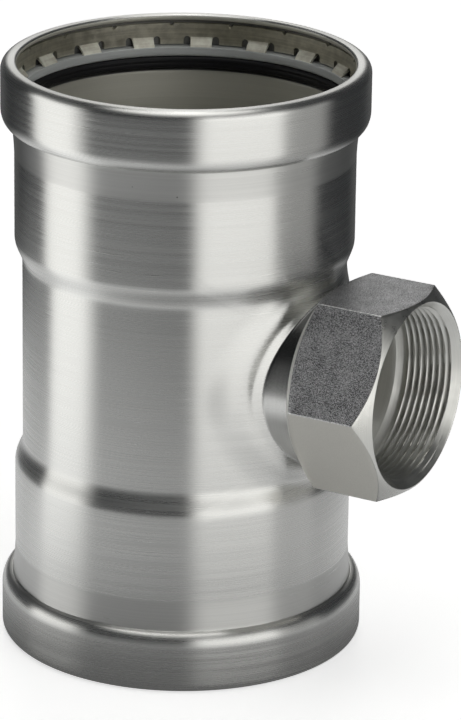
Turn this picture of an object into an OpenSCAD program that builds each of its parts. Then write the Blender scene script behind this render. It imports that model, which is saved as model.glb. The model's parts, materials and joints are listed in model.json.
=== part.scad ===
// Press-fit pipe tee in stainless steel.
// A straight run of thin-walled tube ends in two expanded press sockets. A hexagonal
// sleeve with an internal pipe thread is welded to a short neck drawn out of its side.
//
// Frame: Z runs along the run's centre line, with z = 0 on the plane of the lower rim, so
// the tee stands on that rim. +X is the branch's centre line, at half the run's length.
// All lengths are in millimetres.

/* [Run] */
// Length of the run, from rim to rim
run_length = 200; // [190:1:240]
// Outside diameter of the pipe that each socket takes, and of the run's middle
pipe_od = 108; // [104:0.5:112]
// Wall thickness of the run
wall = 2; // [1.8:0.1:2.2]
// Radial clearance between the pipe and a socket's guide
pipe_clearance = 0.6; // [0.5:0.05:0.9]

/* [Socket] */
// Depth of a socket's straight part, from its rim
guide_depth = 60; // [50:0.5:62]
// Length of the shoulder that necks a socket down to the run
shoulder_length = 8.8; // [6:0.1:10]
// Height of the collar that holds the rings
collar_height = 20.9; // [20.6:0.1:24]
// Radial step from the guide out to the collar
collar_step = 4.5; // [4.3:0.05:5]
// Radius of the collar's edge at the rim
rim_bend = 3; // [2.8:0.1:3.6]
// Radius of the collar's edge at the guide
heel_bend = 3.4; // [3:0.1:3.8]
// Radial gap between the pipe and the rim's lip
lip_clearance = 1.8; // [1.4:0.1:2.2]

/* [Rings] */
// Height of the seal
seal_height = 4.4; // [4:0.1:4.8]
// Height of the separator ring
separator_height = 3.2; // [2.8:0.1:3.4]
// Height of the cutting ring's band
cutter_height = 7.8; // [7.2:0.1:8]
// Thickness of the cutting ring's band
cutter_thickness = 1.3; // [1:0.1:1.4]
// Number of spring tabs on a cutting ring
tab_count = 18; // [14:1:19]
// Width of a spring tab
tab_width = 7.4; // [6:0.1:8]
// Width of the slot on each side of a tab
slot_width = 2.4; // [2:0.1:2.8]
// Gap where a cutting ring is split
split_gap = 3; // [2:0.5:5]
// Where the upper cutting ring is split, as a turn about the run from the branch
cutter_turn = 305.5; // [0:0.5:360]

/* [Branch] */
// Distance from the run's centre line to the sleeve's mouth
branch_reach = 89; // [87:0.5:100]
// Length of the threaded sleeve
sleeve_length = 30.9; // [30:0.1:34]
// Width across the sleeve's flats
sleeve_flats = 64.2; // [63.6:0.1:70]
// Bore at the crests of the female pipe thread
thread_crest_d = 56.66; // [56.2:0.02:57]
// Diameter at the roots of the thread
thread_root_d = 59.61; // [59:0.01:60]
// Length of the thread
thread_length = 15.7; // [13:0.1:16.4]
// Outside diameter of the drawn neck
neck_od = 59.4; // [58.6:0.1:60]
// Wall thickness of the drawn neck
neck_wall = 1.8; // [1.6:0.1:2.2]
// Radius of the bend between the neck and its foot
neck_bend = 2.5; // [1.5:0.1:3.5]
// How far the foot reaches out over the run beside the neck
neck_foot = 9; // [7.5:0.1:10]
// Angle between the foot and the branch's centre line
foot_angle = 40; // [38:0.5:42]
// Width of the weld between the neck and the sleeve
weld_width = 1.5; // [1.2:0.1:1.8]

/* [Hidden] */
$fn = 96;

// Run and sockets, as radii
mid_r = pipe_od / 2;                      // outside of the run's middle
guide_in = mid_r + pipe_clearance;        // wall that guides the pipe
guide_r = guide_in + wall;                // outside of the guide
collar_r = guide_r + collar_step;         // outside of the collar
collar_in = collar_r - wall;              // wall behind the rings
lip_r = mid_r + lip_clearance;            // opening in the rim
half_len = run_length / 2;
heel_z = collar_height - wall;            // floor that the seal lies on
// Branch
neck_r = neck_od / 2;
neck_in = neck_r - neck_wall;
sleeve_back = branch_reach - sleeve_length;
corner_r = sleeve_flats / sqrt(3);        // to the hexagon's corners
face_r = sleeve_flats / 2 - 0.66;         // edge of the mouth's face
back_r = sleeve_flats / 2 - 1.1;          // edge of the sleeve's back
sink_r = face_r - 0.34;                   // edge of the countersink
sink_depth = (sink_r - thread_crest_d / 2) * 1.19;
relief_r = thread_root_d / 2 + 0.3;       // groove that the thread runs out into
bore_r = thread_crest_d / 2 - 0.13;       // plain bore behind the groove

// n + 1 points on an arc about c
function arc(c, r, a0, a1, n = 6) =
    [for (i = [0:n]) let (a = a0 + (a1 - a0) * i / n) [c[0] + r * cos(a), c[1] + r * sin(a)]];
// A smooth step from radius a at height z0 to radius b at height z1
function step_curve(a, b, z0, z1, n = 10) =
    [for (i = [0:n]) let (t = i / n) [a + (b - a) * (1 - cos(180 * t)) / 2, z0 + (z1 - z0) * t]];
// A half profile that starts at a rim, followed by its mirror image at the other rim
function both_ends(half) =
    concat(half, [for (i = [len(half) - 1:-1:0]) [half[i][0], run_length - half[i][1]]]);

// Outside of one end: rim, collar, heel, guide, shoulder
outer_half = concat(
    [[0, 0]],
    arc([collar_r - rim_bend, rim_bend], rim_bend, -90, 0),
    arc([collar_r - heel_bend, collar_height - heel_bend], heel_bend, 0, 84, 7),
    arc([guide_r + 0.8, collar_height + 0.9], 0.8, -100, -180, 4),
    step_curve(guide_r, mid_r, guide_depth, guide_depth + shoulder_length));

// Inside of one end, run past the rim so that it cuts through
inner_half = concat(
    [[0, -1], [lip_r + 1.4, -1], [lip_r, 0.4], [lip_r, wall - 0.3], [lip_r + 0.3, wall]],
    arc([collar_in - 1, wall + 1], 1, -90, 0, 4),
    arc([collar_in - 1.3, heel_z - 1.3], 1.3, 0, 90, 4),
    arc([guide_in + 1.5, heel_z + 1.5], 1.5, -90, -180, 5),
    step_curve(guide_in, mid_r - wall, guide_depth, guide_depth + shoulder_length));

module turned(profile) {
    rotate_extrude() polygon(profile);
}

// Places its children on the branch's centre line: local +Z points out of the branch
module at_branch() {
    translate([0, 0, half_len]) rotate([0, 90, 0]) children();
}

// How far out the run's surface lies, level with the branch and r beside its centre line
function run_out(r) = sqrt(mid_r * mid_r - r * r);

// The drawn neck: a straight collar whose foot bends out over the run. The foot shows on
// either side, where the run's surface falls away, and its rim is sunk into the run's wall.
module drawn_neck(steps = 8) {
    rim_r = neck_r + neck_foot;
    rim_out = run_out(rim_r) - 0.7;
    bend_r = neck_r + neck_bend * (1 - cos(foot_angle));
    bend_out = rim_out + neck_bend * sin(foot_angle) + (rim_r - bend_r) / tan(foot_angle);
    inner_r = neck_r - neck_wall / 2;
    at_branch() {
        cylinder(h = sleeve_back, r = neck_r);
        rotate_extrude() polygon(concat(
            [[inner_r, bend_out + 0.4], [neck_r - 0.05, bend_out + 0.4]],
            [for (i = [1:steps]) let (a = foot_angle * i / steps)
                [neck_r + neck_bend * (1 - cos(a)), bend_out - neck_bend * sin(a)]],
            [[rim_r, rim_out], [rim_r, rim_out - 4], [inner_r, rim_out - 4]]));
    }
}

module tee_body() {
    color("#c3c3be") difference() {
        union() {
            turned(both_ends(outer_half));
            drawn_neck();
        }
        turned(both_ends(inner_half));
        at_branch() cylinder(h = sleeve_back + 1, r = neck_in);
    }
}

// Hexagon bar, turned at both ends, then bored, relieved and countersunk
module threaded_sleeve() {
    front_cut = corner_r - face_r;
    back_cut = corner_r - back_r;
    color("#77787a") at_branch() difference() {
        intersection() {
            translate([0, 0, sleeve_back]) rotate(30 + 60)
                linear_extrude(sleeve_length) circle(r = corner_r, $fn = 6);
            rotate_extrude() polygon([
                [0, sleeve_back], [back_r, sleeve_back],
                [corner_r + 2, sleeve_back + (back_cut + 2) * 0.625],
                [corner_r + 2, branch_reach - (front_cut + 2) * 0.839],
                [face_r, branch_reach], [0, branch_reach]]);
        }
        rotate_extrude() polygon([
            [0, sleeve_back - 1], [bore_r, sleeve_back - 1],
            [bore_r, branch_reach - sink_depth - thread_length - 4.2],
            [relief_r, branch_reach - sink_depth - thread_length - 2.4],
            [relief_r, branch_reach - sink_depth - thread_length],
            [thread_crest_d / 2, branch_reach - sink_depth - thread_length],
            [thread_crest_d / 2, branch_reach - sink_depth],
            [sink_r, branch_reach], [sink_r, branch_reach + 1], [0, branch_reach + 1]]);
    }
}

// The weld, a low rounded bead that wraps the neck and lies against the sleeve's back
module branch_weld() {
    bead = 1.1;                               // stands proud of the neck by this
    color("#b9b9b2") at_branch() rotate_extrude() polygon(concat(
        [[neck_r, sleeve_back], [neck_r, sleeve_back - weld_width]],
        [for (i = [1:6]) let (a = 90 * i / 6)
            [neck_r + bead * sin(a), sleeve_back - weld_width + 0.9 * (1 - cos(a))]],
        [[neck_r + bead, sleeve_back]]));
}

// Puts a ring modelled in the lower socket into the socket named by the flag
module in_socket(upper) {
    if (upper) translate([0, 0, run_length]) rotate([180, 0, 0]) children();
    else children();
}

seal_z = heel_z - seal_height;
separator_z = seal_z - separator_height;
cutter_z = separator_z - cutter_height;
cutter_r = collar_in - 0.1;               // loose in the collar
cutter_in = cutter_r - cutter_thickness;
tab_angle = tab_width / cutter_in * 180 / PI;
slot_angle = slot_width / cutter_in * 180 / PI;

// Rubber seal: square back in the collar, rounded lip that closes on the pipe
module seal_ring() {
    in_r = guide_in - 0.1;
    rotate_extrude() polygon(concat(
        [[collar_in, seal_z]],
        arc([in_r + 1.3, seal_z + 1.3], 1.3, -90, -180, 5),
        [[in_r, seal_z + 1.7], [in_r + 0.3, seal_z + 2], [in_r, seal_z + 2.3]],
        arc([in_r + 1.4, heel_z - 1.6], 1.4, -180, -225, 3),
        [[in_r + 1.9, heel_z], [collar_in - 1.5, heel_z], [collar_in, heel_z - 1.5]]));
}

// Separator: a plain ring that keeps the cutting ring off the seal
module separator_ring() {
    in_r = guide_in + 0.5;
    rotate_extrude() polygon([
        [in_r + 0.3, separator_z], [collar_in, separator_z], [collar_in, seal_z],
        [in_r + 0.9, seal_z], [in_r, seal_z - 0.9], [in_r, separator_z + 0.3]]);
}

// Cutting ring: a split band with windows, and in each window a tab bent in and down
// onto the separator
module cutting_ring() {
    window_z = separator_z - 3;
    pitch = 360 / tab_count;
    // the band, open at the split
    difference() {
        rotate_extrude() polygon([
            [cutter_in, cutter_z], [cutter_r, cutter_z],
            [cutter_r, separator_z - 0.3], [cutter_in, separator_z - 0.3]]);
        translate([0, -split_gap / 2, cutter_z - 1])
            cube([collar_r, split_gap, cutter_height + 2]);
        for (i = [0:tab_count - 1]) rotate((i + 0.5) * pitch) {
            // slots, round at the top, and the room that the tab leaves
            for (s = [-1, 1]) rotate(s * (tab_angle + slot_angle) / 2) {
                translate([collar_in - 3, 0, window_z + slot_width / 2 - 0.3])
                    rotate([0, 90, 0]) cylinder(h = 6, d = slot_width, $fn = 32);
                translate([collar_in - 3, -slot_width / 2, window_z + slot_width / 2 - 0.3])
                    cube([6, slot_width, 6]);
            }
            translate([collar_in - 3, -tab_width / 2 - 0.4, window_z + 0.2])
                cube([6, tab_width + 0.8, 6]);
        }
        // a nick in the rim-side edge, half way between each two tabs
        for (i = [1:tab_count - 1]) rotate(i * pitch)
            translate([collar_in - 3, 0, cutter_z]) rotate([0, 90, 0])
                cylinder(h = 6, r = 0.8, $fn = 24);
    }
    // the tabs
    for (i = [0:tab_count - 1]) rotate((i + 0.5) * pitch - tab_angle / 2)
        rotate_extrude(angle = tab_angle) polygon([
            [cutter_in, window_z - 0.1], [cutter_r - 0.05, window_z - 0.1],
            [cutter_r - 0.1, window_z + 0.6], [guide_in + 1.75, separator_z],
            [guide_in + 0.75, separator_z], [cutter_in - 0.1, window_z + 0.5]]);
}

module upper_cutting_ring() {
    color("#8c8674") in_socket(true) rotate(-cutter_turn) cutting_ring();
}
module upper_separator_ring() { color("#a3a7a6") in_socket(true) separator_ring(); }
module upper_seal() { color("#17171b") in_socket(true) seal_ring(); }
module lower_cutting_ring() { color("#8c8674") in_socket(false) rotate(100) cutting_ring(); }
module lower_separator_ring() { color("#a3a7a6") in_socket(false) separator_ring(); }
module lower_seal() { color("#17171b") in_socket(false) seal_ring(); }

tee_body();
threaded_sleeve();
branch_weld();
upper_cutting_ring();
upper_separator_ring();
upper_seal();
lower_cutting_ring();
lower_separator_ring();
lower_seal();
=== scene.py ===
"""Press-fit pipe tee: a brushed steel run with two ringed sockets and a threaded branch sleeve.

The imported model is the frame: +Z runs along the tube and z = 0 is the plane of the lower
rim, +X is the branch. Profiles are worked out in millimetres and meshes are in metres.
"""

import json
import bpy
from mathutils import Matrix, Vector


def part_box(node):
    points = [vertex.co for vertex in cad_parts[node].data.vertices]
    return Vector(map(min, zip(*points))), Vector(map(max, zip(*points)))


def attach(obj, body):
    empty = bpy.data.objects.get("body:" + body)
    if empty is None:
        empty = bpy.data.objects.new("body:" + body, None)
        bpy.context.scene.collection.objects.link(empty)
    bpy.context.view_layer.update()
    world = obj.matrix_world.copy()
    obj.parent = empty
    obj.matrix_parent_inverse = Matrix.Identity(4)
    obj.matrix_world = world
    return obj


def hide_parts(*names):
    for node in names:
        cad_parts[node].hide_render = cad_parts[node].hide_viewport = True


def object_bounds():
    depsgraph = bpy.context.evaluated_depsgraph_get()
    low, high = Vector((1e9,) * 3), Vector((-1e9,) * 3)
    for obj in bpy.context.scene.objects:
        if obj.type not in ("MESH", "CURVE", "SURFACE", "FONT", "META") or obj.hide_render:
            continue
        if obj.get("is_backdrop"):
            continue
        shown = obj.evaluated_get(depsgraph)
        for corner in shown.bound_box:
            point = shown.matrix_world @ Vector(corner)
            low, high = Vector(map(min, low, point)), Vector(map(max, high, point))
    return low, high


bl_info = {
    "name": "Press-fit pipe tee",
    "version": (1, 0, 0),
    "blender": (4, 5, 0),
    "location": "3D View > Sidebar > Pipe Tee",
    "description": "Builds a stainless press-fit pipe tee with a threaded branch sleeve",
    "category": "Add Mesh",
}

from math import asin, atan2, cos, hypot, pi, radians, sin, sqrt
from types import SimpleNamespace

import bpy
from bpy.props import FloatProperty, FloatVectorProperty, IntProperty, PointerProperty
from mathutils import Vector

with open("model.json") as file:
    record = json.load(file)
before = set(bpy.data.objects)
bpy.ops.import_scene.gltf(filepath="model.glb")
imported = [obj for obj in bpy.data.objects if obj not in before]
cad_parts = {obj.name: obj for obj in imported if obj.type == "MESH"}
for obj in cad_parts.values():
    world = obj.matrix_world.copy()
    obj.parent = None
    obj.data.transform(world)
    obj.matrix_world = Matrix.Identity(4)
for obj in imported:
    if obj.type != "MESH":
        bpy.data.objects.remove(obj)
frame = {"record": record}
CAD_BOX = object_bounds()
MM = 0.001
BODY = "root"
COLOURS = {m["slot"]: tuple(m["base_color"]) + (1.0,) for m in frame["record"]["materials"]}
MOUNTS = {m["name"]: m for m in frame["record"]["mounts"]}


# Settings

def length(name, default, description):
    """A length property. Its default is given in millimetres."""
    return FloatProperty(name=name, description=description, default=default * MM,
                         min=0.0, unit="LENGTH", precision=5)


def angle(name, default, description):
    return FloatProperty(name=name, description=description, default=radians(default),
                         unit="ROTATION")


def colour(name, slot, description):
    return FloatVectorProperty(name=name, description=description, default=COLOURS[slot],
                               size=4, min=0.0, max=1.0, subtype="COLOR")


class TeeRunSettings(bpy.types.PropertyGroup):
    """Sizes and steel of the run."""
    run_length: length("Run length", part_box("tee_body")[1][2] / MM, "From rim to rim")
    pipe_od: length("Pipe diameter", 108, "Outside diameter of the pipe and of the run's middle")
    wall: length("Wall", 2, "Thickness of the tube")
    guide_in: length("Guide radius", MOUNTS["upper_socket"]["dims"]["r_mm"],
                     "Inside radius of the part that guides the pipe")
    guide_depth: length("Guide depth", 60, "Depth of a socket's straight part")
    shoulder_length: length("Shoulder length", 8.8, "Length of the step down to the run")
    collar_height: length("Collar height", 20.9, "Height of the collar that holds the rings")
    collar_step: length("Collar step", 4.5, "Radial step from the guide out to the collar")
    flare: length("Flare", 0.7, "How much the guide opens towards the collar")
    flare_end: length("Flare end", 31, "Where it ends, from the rim")
    rim_bend: length("Rim bend", 3, "Radius of the collar's edge at the rim")
    heel_bend: length("Heel bend", 3.4, "Radius of the collar's edge at the guide")
    heel_rise: length("Heel rise", 5.2, "Height over which that edge bends")
    lip_clearance: length("Lip clearance", 1.8, "Radial gap between the pipe and the lip")
    steel: colour("Tube steel", "run_steel", "Colour of the brushed tube")
    columns: IntProperty(name="Columns", description="Faces round the tube, a multiple of 16",
                         default=192, min=64, max=384)


class TeeRingSettings(bpy.types.PropertyGroup):
    """Sizes and finishes of what the collars hold."""
    seal_height: length("Seal height", 4.4, "Height of the seal")
    separator_height: length("Separator height", 3.2, "Height of the separator ring")
    cutter_height: length("Cutting ring height", 7.8, "Height of the cutting ring's band")
    cutter_thickness: length("Cutting ring thickness", 1.3, "Thickness of its band")
    tab_count: IntProperty(name="Tabs", description="Spring tabs on a cutting ring",
                           default=18, min=4, max=24)
    tab_width: length("Tab width", 7.4, "Width of a spring tab")
    slot_width: length("Slot width", 2.4, "Width of the slot on each side of a tab")
    split_gap: length("Split", 3, "Gap where a cutting ring is split")
    upper_turn: angle("Upper turn", 54.5, "Turn of the upper cutting ring in its socket")
    lower_turn: angle("Lower turn", 100, "Turn of the lower cutting ring in its socket")
    cutter: colour("Cutting ring", "cutter_steel", "Colour of the cutting rings")
    separator: colour("Separator", "separator_plastic", "Colour of the separator rings")
    seal: colour("Seal", "seal_rubber", "Colour of the seals")


class TeeBranchSettings(bpy.types.PropertyGroup):
    """Sizes and steel of the neck, the weld and the threaded sleeve."""
    reach: length("Branch reach", 89, "From the run's centre line to the sleeve's mouth")
    sleeve_length: length("Sleeve length", 30.9, "Length of the threaded sleeve")
    flats: length("Across flats", 64.2, "Width across the sleeve's flats")
    corner_round: length("Corner radius", 0.6, "Radius of the edges between the flats")
    crest_r: length("Crest radius", MOUNTS["branch_thread"]["dims"]["r_mm"],
                    "Bore at the crests of the thread")
    root_r: length("Root radius", 29.805, "Radius at the roots of the thread")
    thread_length: length("Thread length", 15.7, "Length of the thread")
    pitch: length("Pitch", 2.309, "Pitch of the thread")
    neck_r: length("Neck radius", 29.7, "Outside radius of the drawn neck")
    neck_wall: length("Neck wall", 1.8, "Wall of the drawn neck")
    neck_bend: length("Neck bend", 0.75, "Size of the bend between the neck and the run")
    foot_r: length("Foot radius", 43, "Where the run's wall starts to rise towards the neck")
    crown_r: length("Crown radius", 34.5, "Where it has risen most")
    close_r: length("Close radius", 38, "Where it starts to rise above and below the neck")
    foot_lift: length("Foot lift", 2.0, "How far it rises on either side of the neck")
    crease_r: length("Crease radius", 32.4, "Where it turns up into the neck")
    weld_width: length("Weld width", 1.5, "Width of the weld bead")
    weld_height: length("Weld height", 1.1, "How far the bead stands proud of the neck")
    steel: colour("Sleeve steel", "sleeve_steel", "Colour of the drawn flats")
    weld: colour("Weld steel", "weld_steel", "Colour of the bead")


class TeeStageSettings(bpy.types.PropertyGroup):
    """Floor, light and camera."""
    floor: FloatVectorProperty(name="Floor", description="Colour of the floor", size=4,
                               default=(0.93, 0.93, 0.93, 1.0), min=0, max=1, subtype="COLOR")
    floor_glow: FloatProperty(name="Floor glow", description="Light that the floor adds",
                              default=0.66, min=0.0)
    azimuth: angle("Azimuth", 30.53, "Where the camera stands round the tee")
    elevation: angle("Elevation", 19.63, "How far above the horizon the camera stands")
    distance: length("Distance", 1500, "From the tee's middle to the camera")
    lens: FloatProperty(name="Lens", description="Focal length in millimetres", default=223.4)
    light: FloatProperty(name="Light", description="Strength of the studio's light",
                         default=1.0, min=0.0)


def in_mm(group):
    """The group's values, with its lengths in millimetres and its colours as tuples."""
    values = {}
    for name in group.__annotations__:
        prop, value = group.bl_rna.properties[name], getattr(group, name)
        if getattr(prop, "unit", "") == "LENGTH":
            value /= MM
        values[name] = tuple(value) if getattr(prop, "subtype", "") == "COLOR" else value
    return SimpleNamespace(**values)


def run_shape(s):
    """Adds the radii and heights that follow from the run's sizes."""
    s.mid_r = s.pipe_od / 2
    s.guide_r = s.guide_in + s.wall
    s.collar_r = s.guide_r + s.collar_step
    s.collar_in = s.collar_r - s.wall
    s.lip_r = s.mid_r + s.lip_clearance
    s.heel_z = s.collar_height - s.wall
    s.half = s.run_length / 2
    return s


# Mesh helpers

def held(value):
    """The value, held between 0 and 1."""
    return min(max(value, 0.0), 1.0)


def eased(value, start, end):
    """Goes softly from 0 at the start to 1 at the end, and is held outside them."""
    t = held((value - start) / (end - start))
    return t * t * (3 - 2 * t)


def around(r, t, z):
    """The point at a radius, an angle about the axis and a height."""
    return (r * cos(t), r * sin(t), z)


def between(a, b, shares):
    """Points on the line from a to b, at shares of its length."""
    return [tuple(p + (q - p) * u for p, q in zip(a, b)) for u in shares]


def arc(cx, cy, r, start, end, steps=8):
    """Points on an arc, from one angle to the other in degrees."""
    turns = [radians(start + (end - start) * i / steps) for i in range(steps + 1)]
    return [(cx + r * cos(t), cy + r * sin(t)) for t in turns]


def spread(a, b, steps):
    """Even values from a to b, without a."""
    return [a + (b - a) * (i + 1) / steps for i in range(steps)]


def new_piece(name, verts, faces, materials, face_materials=None, sharp=32.0, marks=None):
    """An object at the origin from points in millimetres. marks are point attributes."""
    used = sorted({i for f in faces for i in f})
    index = {old: new for new, old in enumerate(used)}
    mesh = bpy.data.meshes.new(name)
    mesh.from_pydata([[c * MM for c in verts[i]] for i in used], [],
                     [[index[i] for i in f] for f in faces])
    for material in materials:
        mesh.materials.append(material)
    if face_materials:
        mesh.polygons.foreach_set("material_index", face_materials)
    for mark, values in (marks or {}).items():
        layer = mesh.attributes.new(mark, "FLOAT", "POINT")
        layer.data.foreach_set("value", [float(values[i]) for i in used])
    finish_shading(mesh, sharp)
    piece = bpy.data.objects.new(name, mesh)
    bpy.context.scene.collection.objects.link(piece)
    return piece


def finish_shading(mesh, sharp):
    mesh.shade_smooth()
    mesh.set_sharp_from_angle(angle=radians(sharp))
    mesh.update()


def rows_to_faces(rows, columns, skip=None):
    """Quads of a grid that closes on itself both ways."""
    faces = []
    for r in range(rows):
        low, high = r * columns, (r + 1) % rows * columns
        for c in range(columns):
            side = (c + 1) % columns
            if not (skip and skip(r, c)):
                faces.append((low + c, low + side, high + side, high + c))
    return faces


def ring_piece(name, profile, material, columns, flip=None, branch=None):
    """A ring turned from a closed profile of (radius, height), anticlockwise.

    flip mirrors it to the other end of a run of that length. branch turns it about the
    branch's centre line at that height instead, and the profile's height is then x.
    """
    if flip is not None:
        profile = [(r, flip - z) for r, z in reversed(profile)]
    verts = [around(r, 2 * pi * c / columns, z) for r, z in profile for c in range(columns)]
    if branch is not None:
        verts = [(z, x, branch + y) for x, y, z in verts]
    return new_piece(name, verts, rows_to_faces(len(profile), columns), [material])


def settle(piece, slot, *nodes):
    """The piece rides on the part and stands for its CAD nodes, which are hidden. slot is not used.
    """
    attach(piece, BODY)
    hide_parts(*nodes)


# Node helpers

def add(tree, kind, inputs=None, **settings):
    """A node with its settings made and its inputs set or linked."""
    node = tree.nodes.new(kind)
    for name, value in settings.items():
        setattr(node, name, value)
    for key, value in (inputs or {}).items():
        if isinstance(value, bpy.types.NodeSocket):
            tree.links.new(value, node.inputs[key])
        else:
            node.inputs[key].default_value = value
    count = len(tree.nodes)
    node.location = (190 * (count % 10), -260 * (count // 10))
    return node


def math(tree, operation, *values):
    """A number worked out from others, each given or from a node."""
    return add(tree, "ShaderNodeMath", dict(enumerate(values)), operation=operation).outputs[0]


def times(tree, a, b, plus=None):
    """a times b, and plus added to it if it is given."""
    if plus is None:
        return math(tree, "MULTIPLY", a, b)
    return math(tree, "MULTIPLY_ADD", a, b, plus)


def ramp(tree, value, low, high, to_low=0.0, to_high=1.0, smooth=True):
    """The value taken from one range to another, and held at its ends."""
    inputs = {"Value": value, "From Min": low, "From Max": high,
              "To Min": to_low, "To Max": to_high}
    kind = "SMOOTHSTEP" if smooth else "LINEAR"
    return add(tree, "ShaderNodeMapRange", inputs, interpolation_type=kind).outputs["Result"]


def axes(tree, vector):
    """The x, y and z of a vector."""
    return add(tree, "ShaderNodeSeparateXYZ", {0: vector}).outputs


def noise(tree, at, scale, detail=2.0, roughness=0.5, distortion=0.0):
    """Soft random patches, as many to a metre as the scale says."""
    inputs = {"Vector": at, "Scale": scale, "Detail": detail,
              "Roughness": roughness, "Distortion": distortion}
    return add(tree, "ShaderNodeTexNoise", inputs).outputs["Fac"]


def stretched(tree, at, scale):
    """Object coordinates with a scale of their own along each axis."""
    return add(tree, "ShaderNodeMapping", {"Vector": at, "Scale": scale}).outputs["Vector"]


def streaks(tree, at, scale, detail=2.0, roughness=0.5):
    """Noise drawn out along the axes whose scale is small."""
    return noise(tree, stretched(tree, at, scale), 1.0, detail, roughness)


def specks(tree, at, scale, outer, inner, rarity):
    """Small spots in a few cells of a pattern. A higher rarity leaves fewer of them."""
    cells = add(tree, "ShaderNodeTexVoronoi", {"Vector": at, "Scale": scale}).outputs
    chance = add(tree, "ShaderNodeSeparateColor", {0: cells["Color"]}).outputs[0]
    return times(tree, ramp(tree, cells["Distance"], outer, inner),
                 ramp(tree, chance, rarity, rarity + 0.02))


def tint(tree, factor, first, second):
    """Two colours mixed by a factor. Each is given or comes from a node."""
    return add(tree, "ShaderNodeMix", {0: factor, 6: first, 7: second},
               data_type="RGBA").outputs[2]


def bumps(tree, *layers):
    """The normal after layers of (height, strength, distance in metres), one over another."""
    normal = {}
    for height, strength, distance in layers:
        node = add(tree, "ShaderNodeBump",
                   {"Height": height, "Strength": strength, "Distance": distance} | normal)
        normal = {"Normal": node.outputs["Normal"]}
    return normal["Normal"]


def shade(colour_value, factor):
    """A colour made lighter or darker."""
    return tuple(min(1.0, c * factor) for c in colour_value[:3]) + (1.0,)


def shades(colour_value, *factors):
    """The colour made lighter or darker by each factor."""
    return [shade(colour_value, factor) for factor in factors]


def warmed(colour_value, factor):
    """A colour made darker and a little olive."""
    r, g, b = shade(colour_value, factor)[:3]
    return (r, g * 0.985, b * 0.90, 1.0)


def new_material(name):
    material = bpy.data.materials.new(name)
    material.use_nodes = True
    tree = material.node_tree
    tree.nodes.clear()
    return material, tree, add(tree, "ShaderNodeTexCoord").outputs["Object"]


def finished(material, base, metal, rough, **more):
    """Ends a material in a Principled shader. Names in more have _ for a space."""
    inputs = {"Base Color": base, "Metallic": metal, "Roughness": rough}
    inputs.update({key.replace("_", " "): value for key, value in more.items()})
    shader = add(material.node_tree, "ShaderNodeBsdfPrincipled", inputs)
    add(material.node_tree, "ShaderNodeOutputMaterial", {"Surface": shader.outputs[0]})
    return material


# Materials

def brushed_tube(name, steel, roughness, grain, stretch, metal=1.0, formed=None):
    """Steel brushed round the tube, so that its reflections run along it.

    formed gives a middle height and the distances from it between which the tube was
    formed last: it is duller there.
    """
    material, tree, at = new_material(name)
    hair = streaks(tree, at, (14, 14, 3600), 3.0, 0.6)
    mix = times(tree, streaks(tree, at, (9, 9, 900)), 0.5, times(tree, hair, 0.5))
    scratch = times(tree, ramp(tree, streaks(tree, at, (22, 22, 1900), 1.0), 0.67, 0.73),
                    ramp(tree, noise(tree, at, 60, 1.0), 0.52, 0.62))
    base = tint(tree, ramp(tree, mix, 0.3, 0.7), *shades(steel, 0.94, 1.05))
    base = tint(tree, specks(tree, at, 75.0, 0.022, 0.012, 0.80), base, shade(steel, 0.18))
    rough = ramp(tree, mix, 0.3, 0.7, roughness * 0.88, roughness * 1.14)
    rough = times(tree, scratch, -0.10, rough)
    if formed:
        middle, first, last = formed
        off = math(tree, "ABSOLUTE", math(tree, "SUBTRACT", axes(tree, at)[2], middle))
        dull = times(tree, ramp(tree, off, first - 0.0007, first + 0.0007),
                     ramp(tree, off, last + 0.0005, last - 0.0005))
        rough = times(tree, dull, 0.07, rough)
        metal = times(tree, dull, -0.08, metal)
    normal = bumps(tree, (noise(tree, at, 26, 1.0), 0.3, 0.0006), (hair, grain, 0.00004),
                   (scratch, 0.25, 0.00005))
    tangent = add(tree, "ShaderNodeTangent", direction_type="RADIAL", axis="Z").outputs[0]
    return finished(material, base, metal, rough, Normal=normal, Tangent=tangent,
                    Anisotropic=stretch, Anisotropic_Rotation=0.25)


def drawn_neck(steel, middle):
    """The neck's wall: mirror-like above its middle, where its colour is darkened almost to black
    as painted shade; scuffed and pale below.
    """
    material, tree, at = new_material("drawn_neck")
    lines = streaks(tree, at, (3800, 60, 60))
    height = axes(tree, at)[2]
    metal = ramp(tree, height, middle - 0.012, middle + 0.006, 0.45, 1.0)
    # painted shade: the colour goes almost to black above the neck's middle
    painted_shade = ramp(tree, height, middle + 0.001, middle + 0.015, 0.0, 0.8)
    base = tint(tree, painted_shade, tint(tree, lines, *shades(steel, 1.05, 1.3)),
                (0.02, 0.02, 0.024, 1.0))
    return finished(material, base, metal, 0.24, Normal=bumps(tree, (lines, 0.3, 0.00002)))


def socket_shadow(steel):
    """The steel behind the rings, its colour darkened as painted shade."""
    material, tree, at = new_material("socket_painted_shade")
    return finished(material, tint(tree, noise(tree, at, 120), *shades(steel, 0.3, 0.46)), 1.0, 0.6)


def drawn_flats(name, dark, light, metal, grit):
    """Cold-drawn hexagon bar. With grit it has a sand-like grain, without it is rubbed smooth."""
    material, tree, at = new_material(name)
    grain = noise(tree, at, 4200, 1.0)
    nick = specks(tree, stretched(tree, at, (1, 1, 0.6)), 260.0, 0.07, 0.04, 0.93)
    speckle = times(tree, noise(tree, at, 160), 0.12, times(tree, grain, 0.88))
    base = tint(tree, ramp(tree, speckle, 0.40, 0.60), dark, light)
    base = tint(tree, times(tree, nick, 0.6), base, (1.0, 1.0, 1.0, 1.0))
    return finished(material, base, metal, ramp(tree, grain, 0.3, 0.7, 0.42, 0.54),
                    Normal=bumps(tree, (grain, 0.6 * grit, 0.00012), (nick, 0.8, 0.0003)))


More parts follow.
